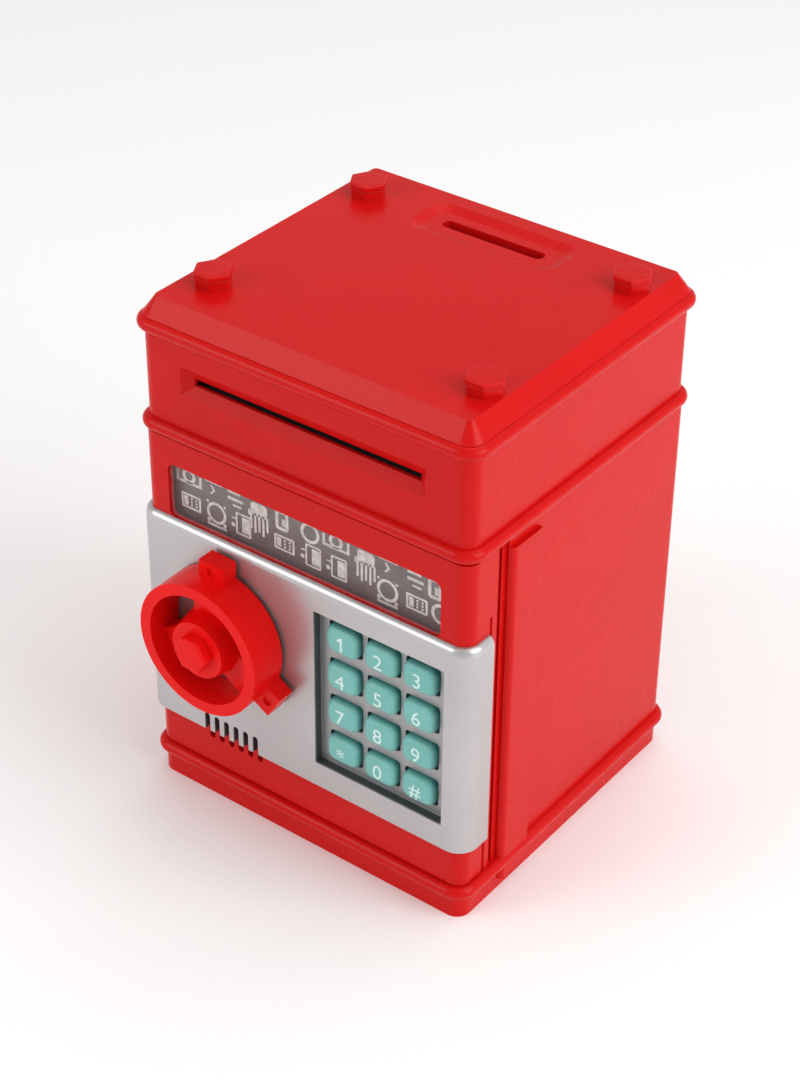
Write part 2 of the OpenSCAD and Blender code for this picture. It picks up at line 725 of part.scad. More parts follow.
// Closed body of the front panel before its holes are cut
module panel_band() {
    // how far below the top edge, and how thick the panel is there
    edge = [[3, panel_t], [1.5, 0.87 * panel_t], [0.5, 0.55 * panel_t], [0, 0.15 * panel_t]];
    difference() {
        union() {
            door_band(panel_t, panel_z0, panel_z1 - edge[0][0]);
            for (i = [0:2]) hull() {
                door_band(edge[i][1], panel_z1 - edge[i][0] - eps, panel_z1 - edge[i][0]);
                door_band(edge[i + 1][1], panel_z1 - edge[i + 1][0] - eps, panel_z1 - edge[i + 1][0]);
            }
        }
        rblock(hx + fit, hy + fit, corner_r + fit, panel_z0 - 1, panel_z1 + 1);
        span([-hx - 9, door_end_l - 1.1, panel_z0 - 1], [hx + 9, 0, panel_z1 + 1]);
    }
}

module keypad_panel() color(silver) difference() {
    union() {
        panel_band();
        span([pad_x - pad_w / 2 - pad_wall, -hy - 1, pad_z - pad_h / 2 - pad_wall],
            [pad_x + pad_w / 2 + pad_wall, pad_floor_y + pad_floor_t, pad_z + pad_h / 2 + pad_wall]);
    }
    span([pad_x - pad_w / 2, -hy - 9, pad_z - pad_h / 2], [pad_x + pad_w / 2, pad_floor_y, pad_z + pad_h / 2]);
    for (c = [0:2], r = [0:3])
        yplate(key_w / 2 + 0.3, key_h / 2 + 0.3, 1.2, key_x(c), key_z(r), -hy - 1, pad_floor_y + 4);
    ycyl(shaft_r + shaft_clear, wheel_x, wheel_z, -hy - 9, -hy + 1);
    speaker_slots(-hy - 9, -hy + 1);
}

module window_pane() color([0.75, 0.72, 0.72, 0.4]) {
    yplate(window_w / 2 - 0.15, window_h / 2 - 0.15, 2.4, 0, window_z, -hy + 0.9, front_in);
    yplate(window_w / 2 + 1.4, window_h / 2 + 1.0, 2, 0, window_z, front_in, front_in + 1);
}

module window_film() color([0.42, 0.36, 0.36])
    yplate(window_w / 2 + 1.2, window_h / 2 + 0.9, 2, 0, window_z, front_in + 1.05, front_in + 1.35);

function key_x(c) = pad_x + (c - 1) * key_px;
function key_z(r) = pad_z + (1.5 - r) * key_pz;

// Key in column c and row r, counted from the top left
module keycap(c, r) color(teal) {
    crown = 1;
    yplate(key_w / 2, key_h / 2, 2.6, key_x(c), key_z(r), key_front_y + crown, key_flange_y + 0.1);
    yplate(key_w / 2 + 0.8, key_h / 2 + 1.6, 0.8, key_x(c), key_z(r), key_flange_y, key_flange_y + 1);
    hull() {
        yplate(key_w / 2, key_h / 2, 2.6, key_x(c), key_z(r), key_front_y + crown, key_front_y + crown + eps);
        yplate(key_w / 2 - 0.9, key_h / 2 - 0.9, 1.9, key_x(c), key_z(r), key_front_y, key_front_y + eps);
    }
}

module key_membrane() color([0.80, 0.79, 0.76])
    span([pad_x - 25, sheet_y, pad_z - 30], [pad_x + 25, sheet_y + 1, pad_z + 30]);

module key_board() color(board_green)
    span([pad_x - 25.6, sheet_y + 1.05, pad_z - 32], [pad_x + 25.6, sheet_y + 2.45, pad_z + 32]);

module speaker() color(dark) {
    ycyl(12.6, slot_x, 31, front_in + 0.3, front_in + 2);
    ycyl(9.6, slot_x, 31, front_in + 2, front_in + 4);
    ycyl(7, slot_x, 31, front_in + 4, front_in + 5.6);
}

module door_back_cover() color(red) difference() {
    union() {
        span([-hx + 8.5, cover_y, door_z0 + 0.1], [hinge_x - 6, cover_y + cover_t, door_z1 - 0.1]);
        for (x = [-49, -13.5]) span([x - 2, cover_y + cover_t - 0.1, keeper_z - 6.2],
            [x + 2, latch_y + latch_t + 1.8, keeper_z + 6.2]);
    }
    for (p = door_bosses) ycyl(1.25, p[0], p[1], cover_y - 1, cover_y + cover_t + 1);
    ycyl(shaft_r + shaft_clear, wheel_x, wheel_z, cover_y - 1, cover_y + cover_t + 1);
    span([-52, cover_y + cover_t, keeper_z - 3.9], [-10, latch_y + latch_t + 0.3, keeper_z + 3.9]);
}

module door_screws() color(steel) for (p = door_bosses) translate([p[0], cover_y + cover_t, p[1]])
    rotate([-90, 0, 0]) screw(1, 6.5, 2.2, 1.3);

// ---- latch, lock and hand wheel ----

module latch_bolt() color(steel) {
    y0 = latch_y;
    y1 = latch_y + latch_t;
    rack_p = PI * tooth_m;
    bar_z0 = wheel_z + latch_pitch_r + tooth_m;
    thick = rack_p / 2 - 0.2;
    rise = 1.75 * tooth_m;
    lean = tan(20);
    difference() {
        span([latch_tip, y0, bar_z0], [latch_end, y1, keeper_z + 3.6]);
        // a notch for the lock plunger at each end of the travel
        for (x = [plunger_x, plunger_x + latch_throw])
            span([x - 2.5, y0 - 1, keeper_z + 0.6], [x + 2.5, y1 + 1, keeper_z + 5]);
    }
    for (k = [-2:4]) translate([wheel_x + (k + 0.5) * rack_p, y1, bar_z0]) rotate([90, 0, 0])
        linear_extrude(latch_t) polygon([
            [-thick / 2 - lean * tooth_m, 0.1], [-thick / 2 + lean * (rise - tooth_m), -rise],
            [thick / 2 - lean * (rise - tooth_m), -rise], [thick / 2 + lean * tooth_m, 0.1]
        ]);
}

module latch_pinion() color([0.85, 0.65, 0.25]) translate([wheel_x, latch_y + latch_t + 0.2, wheel_z])
    rotate([90, 0, 0]) linear_extrude(latch_t + 0.2) difference() {
        rotate(90) gear2d(latch_teeth);
        intersection() {
            circle(shaft_tip_r);
            translate([-3, -3]) square([6, 4.6]);
        }
    }

module wheel_shaft() color(steel) difference() {
    union() {
        ycyl(shaft_r, wheel_x, wheel_z, wheel_back - 9.6, latch_y - 0.1);
        ycyl(shaft_tip_r, wheel_x, wheel_z, latch_y - 0.2, latch_y + latch_t + 1.4);
    }
    span([wheel_x - 5, latch_y, wheel_z + 1.6], [wheel_x + 5, latch_y + 9, wheel_z + 9]);
}

module lock_solenoid() color(steel) {
    y0 = cover_y + cover_t;
    difference() {
        span([-27.6, y0, keeper_z + 8.4], [-12, y0 + 10, keeper_z + 24]);
        translate([plunger_x, latch_y + latch_t / 2, keeper_z + 6])
            cylinder(r = plunger_r + 0.08, h = 14);
    }
    span([-31, y0, keeper_z + 10], [-27.6, y0 + 1.2, keeper_z + 22]);
    span([-12, y0, keeper_z + 10], [-8.6, y0 + 1.2, keeper_z + 22]);
}

module solenoid_plunger() color(steel)
    translate([plunger_x, latch_y + latch_t / 2, keeper_z + 4.2]) cylinder(r = plunger_r, h = 14);

// Drawn in the wheel's own plane: local z runs forwards, from the back of the rim
module in_wheel() {
    translate([wheel_x, wheel_back, wheel_z]) rotate([90, 0, 0]) children();
}

module hand_wheel() color(red) in_wheel() difference() {
    spoke_z0 = 2;
    press = 0.02;
    union() {
        difference() {
            cylinder(r = wheel_r, h = wheel_d, $fn = 96);
            translate([0, 0, -1]) cylinder(r = wheel_in, h = wheel_d + 2, $fn = 96);
        }
        rotate_extrude()
            polygon([[0, 0], [hub_foot_r, 0], [hub_foot_r, 1.5], [hub_r, wheel_d], [0, wheel_d]]);
        for (a = lug_angles) rotate(a) {
            translate([8, -spoke_w / 2, spoke_z0])
                cube([wheel_in - 7.5, spoke_w, wheel_d - spoke_sink - spoke_z0]);
            translate([wheel_r - 1.5, -lug_w / 2, 0]) cube([lug_reach + 1.5, lug_w, lug_h]);
        }
    }
    for (a = lug_angles) rotate(a)
        translate([wheel_r + lug_reach / 2 - 0.3, 0, lug_h - 0.8]) cylinder(r = dimple_r, h = 1);
    translate([0, 0, -1]) cylinder(r = shaft_r + press, h = 10.8);
    translate([0, 0, 9]) cylinder(r = nut_pin_r + press, h = 8);
}

module hub_nut() color(red) in_wheel() {
    translate([0, 0, wheel_d]) cylinder(r = bolt_r, h = nut_h, $fn = 6);
    translate([0, 0, wheel_d + nut_h])
        cylinder(r1 = bolt_r, r2 = bolt_r - nut_chamfer, h = nut_chamfer, $fn = 6);
    translate([0, 0, wheel_d - 3.7]) cylinder(r = nut_pin_r, h = 3.8);
}

base_plate();
battery_tray();
battery_contacts();
battery_springs();
battery_cells();
battery_cover();
battery_cover_screw();
base_screws();
main_shell();
latch_keeper();
hinge_pins();
head_shell();
head_screws();
top_lid();
lid_bolts();
coin_chute();
feed_frame();
note_guide_upper();
note_sensor();
feed_motor();
motor_bracket();
motor_pinion();
idler_pin();
idler_gear();
drive_gear();
drive_shaft();
drive_rollers();
pinch_shaft();
pinch_rollers();
main_board();
door_shell();
keypad_panel();
window_pane();
window_film();
keycap(0, 0);  // key_1
keycap(1, 0);  // key_2
keycap(2, 0);  // key_3
keycap(0, 1);  // key_4
keycap(1, 1);  // key_5
keycap(2, 1);  // key_6
keycap(0, 2);  // key_7
keycap(1, 2);  // key_8
keycap(2, 2);  // key_9
keycap(0, 3);  // key_star
keycap(1, 3);  // key_0
keycap(2, 3);  // key_hash
key_membrane();
key_board();
speaker();
door_back_cover();
door_screws();
lock_solenoid();
solenoid_plunger();
hand_wheel();
hub_nut();
wheel_shaft();
latch_pinion();
latch_bolt();
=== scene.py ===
"""Toy savings bank: the looks of every piece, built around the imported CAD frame. Units are metres."""

import json
import math

import bmesh
import bpy
from mathutils import Matrix, Vector


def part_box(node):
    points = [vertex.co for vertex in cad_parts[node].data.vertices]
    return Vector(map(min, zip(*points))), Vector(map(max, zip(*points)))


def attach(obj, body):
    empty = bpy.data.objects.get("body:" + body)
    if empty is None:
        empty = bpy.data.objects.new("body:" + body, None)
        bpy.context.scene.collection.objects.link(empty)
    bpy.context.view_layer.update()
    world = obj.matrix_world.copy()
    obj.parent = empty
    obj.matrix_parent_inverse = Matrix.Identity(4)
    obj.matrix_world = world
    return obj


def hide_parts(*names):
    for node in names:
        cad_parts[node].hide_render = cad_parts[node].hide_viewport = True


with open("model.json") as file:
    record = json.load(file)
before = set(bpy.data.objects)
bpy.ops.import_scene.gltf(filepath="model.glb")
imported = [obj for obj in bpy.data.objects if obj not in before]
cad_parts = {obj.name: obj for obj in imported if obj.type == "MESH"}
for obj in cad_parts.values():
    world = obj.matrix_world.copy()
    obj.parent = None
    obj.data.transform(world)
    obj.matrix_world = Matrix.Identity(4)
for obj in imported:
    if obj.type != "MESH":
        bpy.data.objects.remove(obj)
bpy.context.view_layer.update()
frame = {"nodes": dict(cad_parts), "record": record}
nodes = frame["nodes"]
body_of = {n: b for b, members in frame["record"]["behaviour"]["bodies"].items() for n in members}
slot_of = {row["node"]: row["material_slot"] for row in frame["record"]["subparts"]}

MM = 0.001


# ---- camera, lights and floor ----

CAMERA_AT = Vector((0.3849, -0.5215, 0.5379))
CAMERA_TURN = math.radians(36.94)
CAMERA_TILT = math.radians(34.83)
CAMERA_ROLL = math.radians(0.5)


def add_camera():
    turn, tilt, roll = CAMERA_TURN, CAMERA_TILT, CAMERA_ROLL
    back = Vector((math.sin(turn) * math.cos(tilt), -math.cos(turn) * math.cos(tilt), math.sin(tilt)))
    level = Vector((math.cos(turn), math.sin(turn), 0))
    rise = back.cross(level)
    right = level * math.cos(roll) + rise * math.sin(roll)
    up = rise * math.cos(roll) - level * math.sin(roll)
    data = bpy.data.cameras.new("camera")
    data.sensor_width = 36
    data.lens = 79.4
    data.shift_x = 0.0020
    data.shift_y = -0.0015
    data.clip_start = 0.02
    data.clip_end = 20
    camera = bpy.data.objects.new("camera", data)
    camera.matrix_world = Matrix.LocRotScale(
        CAMERA_AT, Matrix((right, up, back)).transposed().to_quaternion(), None)
    bpy.context.scene.collection.objects.link(camera)
    bpy.context.scene.camera = camera


def add_softbox(name, at, aim, width, height, power, tint=(1, 1, 1)):
    data = bpy.data.lights.new(name, "AREA")
    data.shape = "RECTANGLE"
    data.size = width
    data.size_y = height
    data.energy = power
    data.color = tint
    light = bpy.data.objects.new(name, data)
    light.location = at
    light.rotation_mode = "QUATERNION"
    light.rotation_quaternion = (Vector(aim) - Vector(at)).to_track_quat("-Z", "Y")
    bpy.context.scene.collection.objects.link(light)


def add_world():
    world = bpy.data.worlds.new("studio")
    world.use_nodes = True
    tree = world.node_tree
    tree.nodes["Background"].inputs["Color"].default_value = (1.0, 0.99, 0.985, 1)
    tree.nodes["Background"].inputs["Strength"].default_value = 0.61
    bpy.context.scene.world = world
    bpy.context.scene.view_settings.view_transform = "Standard"


def add_floor(material):
    half = 3.0
    mesh = bpy.data.meshes.new("floor")
    corners = [(-half, -half, 0), (half, -half, 0), (half, half, 0), (-half, half, 0)]
    mesh.from_pydata(corners, [], [(0, 1, 2, 3)])
    mesh.materials.append(material)
    floor = bpy.data.objects.new("floor", mesh)
    bpy.context.scene.collection.objects.link(floor)


# ---- node graphs ----

class Wire:
    """One output of a node. Arithmetic on it adds Math nodes."""

    def __init__(self, graph, socket):
        self.graph = graph
        self.socket = socket

    def maths(self, operation, *values, clamp=False):
        return self.graph.maths(operation, self, *values, clamp=clamp)

    def __add__(self, other):
        return self.graph.maths("ADD", self, other)

    def __sub__(self, other):
        return self.graph.maths("SUBTRACT", self, other)

    def __rsub__(self, other):
        return self.graph.maths("SUBTRACT", other, self)

    def __mul__(self, other):
        return self.graph.maths("MULTIPLY", self, other)

    def __truediv__(self, other):
        return self.graph.maths("DIVIDE", self, other)

    __radd__ = __add__
    __rmul__ = __mul__


class Graph:
    """A node tree that grows by calls of add."""

    def __init__(self, tree):
        self.tree = tree

    def add(self, kind, settings=None, inputs=None, output=0):
        """Adds a node, makes its settings, then sets or links its inputs. Ramp stops are (place, colour)."""
        made = self.tree.nodes.new(kind)
        for key, value in (settings or {}).items():
            if key == "stops":
                while len(made.color_ramp.elements) < len(value):
                    made.color_ramp.elements.new(0.5)
                for element, (place, colour) in zip(made.color_ramp.elements, value):
                    element.position = place
                    element.color = (*colour, 1)
            else:
                setattr(made, key, value)
        for key, value in (inputs or {}).items():
            if isinstance(value, Wire):
                self.tree.links.new(value.socket, made.inputs[key])
            else:
                made.inputs[key].default_value = value
        return Wire(self, made.outputs[output])

    def maths(self, operation, *values, clamp=False):
        settings = {"operation": operation, "use_clamp": clamp}
        return self.add("ShaderNodeMath", settings, dict(enumerate(values)))


class Look(Graph):
    """A material being made. Its patterns read the place on the object, in metres."""

    def __init__(self, name):
        self.material = bpy.data.materials.new(name)
        self.material.use_nodes = True
        super().__init__(self.material.node_tree)
        self.tree.nodes.clear()
        self.place = self.add("ShaderNodeTexCoord", output="Object")
        apart = self.tree.nodes.new("ShaderNodeSeparateXYZ")
        self.tree.links.new(self.place.socket, apart.inputs[0])
        self.x, self.y, self.z = (Wire(self, s) for s in apart.outputs)

    def noise(self, scale, detail=2.0, roughness=0.5, place=None):
        inputs = {"Vector": place or self.place, "Scale": scale, "Detail": detail, "Roughness": roughness}
        return self.add("ShaderNodeTexNoise", None, inputs)

    def stretched(self, x, y, z):
        """The place with each axis scaled, for streaks."""
        return self.add("ShaderNodeMapping", None, {"Vector": self.place, "Scale": (x, y, z)})

    def spread(self, value, low, high, clamp=True):
        """A value from 0 to 1 as one from low to high."""
        settings = {"clamp": clamp}
        return self.add("ShaderNodeMapRange", settings, {"Value": value, "To Min": low, "To Max": high})

    def between(self, value, start, end):
        """0 below start, 1 above end, and smooth in between."""
        settings = {"interpolation_type": "SMOOTHSTEP"}
        return self.add("ShaderNodeMapRange", settings, {"Value": value, "From Min": start, "From Max": end})

    def mix(self, share, a, b):
        """The colour a where share is 0 and b where it is 1."""
        settings = {"data_type": "RGBA"}
        return self.add("ShaderNodeMix", settings, {0: share, 6: colour(a), 7: colour(b)}, output=2)

    def bump(self, height, depth, strength=1.0, normal=None):
        """A normal from a height between 0 and 1 that stands for depth metres."""
        inputs = {"Height": height, "Distance": depth, "Strength": strength}
        if normal:
            inputs["Normal"] = normal
        return self.add("ShaderNodeBump", None, inputs, output="Normal")

    def surface(self, **inputs):
        named = {key.replace("_", " "): value for key, value in inputs.items()}
        shader = self.add("ShaderNodeBsdfPrincipled", None, named)
        self.add_end(shader)
        return self.material

    def add_end(self, shader):
        end = self.tree.nodes.new("ShaderNodeOutputMaterial")
        self.tree.links.new(shader.socket, end.inputs["Surface"])


def colour(value):
    return value if isinstance(value, Wire) else (*value, 1)


# ---- materials ----

RED = (0.560, 0.0040, 0.0035)
RED_DEEP = (0.520, 0.0030, 0.0025)
RED_PALE = (0.590, 0.0055, 0.0050)


def moulded_red(name, lift=1.0, sheen=0.14):
    """Satin moulded plastic with faint flow marks and scuffs. lift brightens its colour as painted light,
    sheen is its gloss.
    """
    look = Look(name)
    flow = look.noise(9, 3, 0.55, look.stretched(1, 1, 2.2))
    cloud = look.noise(45, 2)
    tone = look.spread(flow * 0.7 + cloud * 0.3, 0, 1)
    deep, pale, middle = [tuple(lift * part for part in red) for red in (RED_DEEP, RED_PALE, RED)]
    base = look.mix(look.between(tone, 0.35, 0.65), deep, pale)
    base = look.mix(0.55, base, middle)
    scuff = look.between(look.noise(260, 3, 0.7, look.stretched(1, 1, 0.35)), 0.60, 0.78)
    rough = look.spread(cloud, 0.23, 0.31) + scuff * 0.02
    peel = look.bump(look.noise(420, 1), 0.00002, 0.5)
    fine = look.bump(look.noise(2600, 2), 0.000003, 0.5, peel)
    return look.surface(Base_Color=base, Roughness=rough, Normal=fine, IOR=1.50, Specular_IOR_Level=sheen)


def silver_paint():
    """Sprayed silver: fine flakes under satin lacquer, with painted shade on the pocket and slot walls and a
    lighter painted shade on the pocket floor.
    """
    look = Look("silver_paint")
    low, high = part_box("keypad_panel")
    flakes = look.add("ShaderNodeTexVoronoi", None, {"Vector": look.place, "Scale": 5200.0}, output="Color")
    spark = look.add("ShaderNodeSeparateColor", None, {0: flakes})
    cloud = look.noise(30, 3)
    tone = look.spread(spark, 0.0, 1.0) * 0.35 + cloud * 0.65
    base = look.mix(look.between(tone, 0.2, 0.8), (0.47, 0.455, 0.46), (0.55, 0.535, 0.54))
    front = low.y
    # Painted shade: the recessed pocket and slot walls are darkened, the pocket floor less so, and made
    # rougher and less metallic.
    sunk = look.between(look.y, front + 0.1 * MM, front + 0.8 * MM)
    floor = look.between(look.y, front + 3.2 * MM, front + 3.4 * MM)
    middle = look.between(look.x.maths("ABSOLUTE"), high.x - 8 * MM, high.x - 11 * MM)
    below = look.between(look.z, high.z - 4 * MM, high.z - 5 * MM)
    painted_wall_shade = sunk * (1 - floor * 0.72) * middle * below
    base = look.mix(painted_wall_shade, base, (0.045, 0.055, 0.060))
    rough = look.spread(look.noise(900, 2), 0.27, 0.36) + painted_wall_shade * 0.25
    tilt = look.bump(spark, 0.000006, 0.25)
    orange = look.bump(look.noise(500, 1), 0.00002, 0.25, tilt)
    metal = look.spread(painted_wall_shade, 0.72, 0.1)
    return look.surface(Base_Color=base, Metallic=metal, Roughness=rough, Normal=orange)


def teal_key():
    """Satin key plastic with painted shade on each key's sides, darker towards its foot."""
    look = Look("teal_key")
    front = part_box("key_5")[0].y
    # Painted shade: each key's sides darken from just behind its front face down to its foot.
    depth = look.between(look.y, front + 0.4 * MM, front + 3.4 * MM)
    cloud = look.noise(120, 2)
    top = look.mix(look.between(cloud, 0.3, 0.7), (0.150, 0.440, 0.405), (0.170, 0.475, 0.440))
    base = look.mix(depth, top, (0.035, 0.225, 0.205))
    rough = look.spread(look.noise(700, 2), 0.36, 0.48)
    grain = look.bump(look.noise(3000, 2), 0.000015, 0.6)
    return look.surface(Base_Color=base, Roughness=rough, Normal=grain)


def key_print():
    """White pad-printed ink, slightly uneven."""
    look = Look("key_print")
    patch = look.noise(1500, 3)
    base = look.mix(look.between(patch, 0.35, 0.7), (0.56, 0.76, 0.74), (0.70, 0.86, 0.84))
    return look.surface(Base_Color=base, Roughness=look.spread(patch, 0.40, 0.55),
                        Normal=look.bump(patch, 0.00001, 0.5))


def clear_window():
    """Clear styrene with faint rub marks."""
    look = Look("clear_window")
    marks = look.noise(600, 3, 0.7, look.stretched(0.3, 1, 1.6))
    rough = look.spread(look.between(marks, 0.55, 0.75), 0.03, 0.14)
    base = look.mix(look.between(look.noise(60, 2), 0.3, 0.7), (0.62, 0.55, 0.55), (0.70, 0.64, 0.64))
    return look.surface(Base_Color=base, Roughness=rough, Alpha=0.07, IOR=1.55, Specular_IOR_Level=0.3,
                        Normal=look.bump(marks, 0.000004, 0.4))


def printed_film():
    """Smoky printed film that deepens from warm grey to dark red at its foot."""
    look = Look("printed_film")
    low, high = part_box("window_film")
    rise = look.between(look.z, low.z + 2 * MM, high.z - 3 * MM)
    grey = look.mix(look.between(look.noise(90, 3), 0.35, 0.65), (0.070, 0.045, 0.043), (0.125, 0.095, 0.090))
    base = look.mix(rise, (0.040, 0.002, 0.004), grey)
    screen = look.noise(2200, 1)
    dots = look.mix(look.between(screen, 0.3, 0.7), base, look.mix(0.05, base, (1, 1, 1)))
    return look.surface(Base_Color=dots,
                        Roughness=look.spread(screen, 0.32, 0.45), Normal=look.bump(screen, 0.00001, 0.4))


def film_ink():
    """Pale silver ink of the signs on the film."""
    look = Look("film_ink")
    patch = look.noise(500, 3)
    base = look.mix(look.between(patch, 0.3, 0.7), (0.50, 0.47, 0.45), (0.74, 0.71, 0.69))
    return look.surface(Base_Color=base, Metallic=0.15, Roughness=look.spread(patch, 0.35, 0.5),
                        Normal=look.bump(patch, 0.00001, 0.5))


def dark_plastic(name, tone, roughness):
    """Matt moulded plastic with a spark-eroded grain."""
    look = Look(name)
    grain = look.noise(1600, 3, 0.6)
    pale = tuple(v * 1.7 + 0.01 for v in tone)
    base = look.mix(look.between(grain, 0.3, 0.75), tone, pale)
    return look.surface(Base_Color=base, Roughness=look.spread(grain, roughness - 0.06, roughness + 0.08),
                        Normal=look.bump(grain, 0.00004, 0.6))


def pale_plastic():
    """Natural acetal: slightly waxy, with faint gate clouds."""
    look = Look("natural_acetal")
    cloud = look.noise(70, 3)
    base = look.mix(look.between(cloud, 0.3, 0.7), (0.69, 0.66, 0.57), (0.80, 0.78, 0.71))
    return look.surface(Base_Color=base, Roughness=look.spread(look.noise(800, 2), 0.34, 0.48),
                        Normal=look.bump(look.noise(1500, 2), 0.00002, 0.5), Subsurface_Weight=0.1,
                        Subsurface_Radius=(0.002, 0.0018, 0.0014))


def zinc_steel():
    """Zinc-plated steel with drawn streaks and a faint yellow passivation."""
    look = Look("zinc_steel")
    streak = look.noise(900, 3, 0.6, look.stretched(1, 0.08, 1))
    bloom = look.noise(160, 3)
    base = look.mix(look.between(bloom, 0.35, 0.7), (0.56, 0.56, 0.57), (0.66, 0.63, 0.55))
    return look.surface(Base_Color=base, Metallic=1.0, Roughness=look.spread(streak, 0.22, 0.42),
                        Normal=look.bump(streak, 0.00001, 0.5))


def machined_brass():
    """Turned brass: fine streaks of tool marks and a slight tarnish."""
    look = Look("machined_brass")
    tarnish = look.noise(220, 3)
    marks = look.noise(2400, 2, 0.5, look.stretched(3, 1, 1))
    base = look.mix(look.between(tarnish, 0.4, 0.75), (0.78, 0.58, 0.25), (0.55, 0.37, 0.14))
    return look.surface(Base_Color=base, Metallic=1.0, Roughness=look.spread(marks, 0.2, 0.38),
                        Normal=look.bump(marks, 0.00001, 0.5))


def circuit_board():
    """Green solder mask over copper tracks, with pale silk-screen specks."""
    look = Look("circuit_board")
    tracks = look.add("ShaderNodeTexBrick", {"offset": 0.5}, {
        "Vector": look.place, "Scale": 160.0, "Mortar Size": 0.028, "Color1": (0, 0, 0, 1),
        "Color2": (0, 0, 0, 1), "Mortar": (1, 1, 1, 1), "Brick Width": 0.9, "Row Height": 0.35}, output="Fac")
    mask = look.mix(look.between(look.noise(80, 2), 0.3, 0.7), (0.012, 0.115, 0.045), (0.020, 0.160, 0.065))
    base = look.mix(tracks, mask, (0.055, 0.270, 0.100))
    specks = look.between(look.noise(900, 0), 0.74, 0.76)
    base = look.mix(specks, base, (0.75, 0.78, 0.72))
    return look.surface(Base_Color=base, Roughness=look.spread(look.noise(400, 2), 0.22, 0.36),
                        Normal=look.bump(tracks, 0.00003, 0.6), Coat_Weight=0.3)


def cell_wrap():
    """Shrink wrap of the cells: a green sleeve with a silver band at either end and no print."""
    look = Look("cell_wrap")
    low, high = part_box("battery_cells")
    wide = (high.x - low.x) / 2
    across = look.add("ShaderNodeMath", {"operation": "ABSOLUTE"}, {0: look.x - (low.x + high.x) / 2})
    band = look.between(across, wide * 0.72, wide * 0.74)
    base = look.mix(band, (0.030, 0.190, 0.090), (0.62, 0.62, 0.64))
    wrinkle = look.noise(500, 3, 0.5, look.stretched(0.2, 1, 1))
    return look.surface(Base_Color=base, Roughness=look.spread(wrinkle, 0.2, 0.34),
                        Normal=look.bump(wrinkle, 0.00003, 0.5))


def floor_paper():
    """Pale seamless paper."""
    look = Look("floor_paper")
    tooth = look.noise(900, 3)
    base = look.mix(look.between(tooth, 0.2, 0.8), (0.90, 0.90, 0.90), (0.93, 0.93, 0.93))
    return look.surface(Base_Color=base, Roughness=0.9, Normal=look.bump(tooth, 0.00005, 0.3))


finish = {
    "case_red": moulded_red("moulded_red"),
    "panel_silver": silver_paint(),
    "clear_window": clear_window(),
    "printed_film": printed_film(),
    "key_teal": teal_key(),
    "black_plastic": dark_plastic("black_plastic", (0.018, 0.018, 0.020), 0.50),
    "soft_rubber": dark_plastic("soft_rubber", (0.022, 0.022, 0.024), 0.72),
    "membrane_rubber": dark_plastic("membrane_rubber", (0.42, 0.41, 0.38), 0.62),
    "cell_wrap": cell_wrap(),
    "bright_steel": zinc_steel(),
    "cream_plastic": pale_plastic(),
    "circuit_board": circuit_board(),
    "brass_gear": machined_brass(),
}
# Painted light: the wheel's red is the case red brightened 1.4 times, to lighten the shaded wheel and hub
# nut.
wheel_red = moulded_red("wheel_red", lift=1.40, sheen=0.10)
ink_white = key_print()
ink_silver = film_ink()


# ---- mesh tools ----

def add_piece(name, mesh, node, material=None, stands_for=True):
    """Puts a finished mesh into the scene on the body of a CAD node, in that node's finish."""
    mesh.materials.clear()
    mesh.materials.append(material or finish[slot_of[node]])
    piece = bpy.data.objects.new(name, mesh)
    bpy.context.scene.collection.objects.link(piece)
    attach(piece, body_of[node])
    if stands_for:
        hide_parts(node)
    return piece


def mesh_from(name, build):
    """A mesh whose bmesh is filled by build, with outward normals and smooth faces."""
    shape = bmesh.new()
    build(shape)
    bmesh.ops.recalc_face_normals(shape, faces=shape.faces)
    mesh = bpy.data.meshes.new(name)
    shape.to_mesh(mesh)
    shape.free()
    mesh.shade_smooth()
    mesh.set_sharp_from_angle(angle=math.radians(34))
    return mesh


def rounded(mesh, radius, segments=3, angle=32):
    """The mesh with its sharp edges rounded to a radius, by a Bevel modifier that is then applied."""
    holder = bpy.data.objects.new("rounding", mesh)
    bpy.context.scene.collection.objects.link(holder)
    bevel = holder.modifiers.new("round", "BEVEL")
    bevel.width = radius
    bevel.segments = segments
    bevel.limit_method = "ANGLE"
    bevel.angle_limit = math.radians(angle)
    bevel.miter_outer = "MITER_ARC"
    bevel.use_clamp_overlap = True
    flat = holder.modifiers.new("flat", "WEIGHTED_NORMAL")
    flat.mode = "FACE_AREA"
    flat.weight = 100
    flat.keep_sharp = True
    bpy.context.view_layer.update()
    graph = bpy.context.evaluated_depsgraph_get()
    made = bpy.data.meshes.new_from_object(holder.evaluated_get(graph))
    bpy.data.objects.remove(holder)
    return made


def merged_copy(node, flat_angle=0.6):
    """A copy of a CAD node's mesh, its doubles merged and its flat faces made whole."""
    shape = bmesh.new()
    shape.from_mesh(nodes[node].data)
    bmesh.ops.remove_doubles(shape, verts=shape.verts, dist=0.002 * MM)
    bmesh.ops.dissolve_limit(
        shape, angle_limit=math.radians(flat_angle), verts=shape.verts, edges=shape.edges)
    mesh = bpy.data.meshes.new(node + "_merged")
    shape.to_mesh(mesh)
    shape.free()
    mesh.shade_smooth()
    return mesh


def soften(node, radius, name=None, segments=3, angle=32, material=None):
    """Stands for a CAD node with the same shape and moulded, rounded edges."""
    mesh = rounded(merged_copy(node), radius, segments, angle)
    return add_piece(name or node + "_moulded", mesh, node, material)


def round_corners(half_w, half_h, radius, steps=7):
    """Points of a rectangle with round corners, in order round it."""
    ring = []
    for quarter, (side, top) in enumerate(((1, 1), (-1, 1), (-1, -1), (1, -1))):
        for step in range(steps + 1):
            turn = math.radians(90 * (quarter + step / steps))
            ring.append((side * (half_w - radius) + radius * math.cos(turn),
                         top * (half_h - radius) + radius * math.sin(turn)))
    return ring


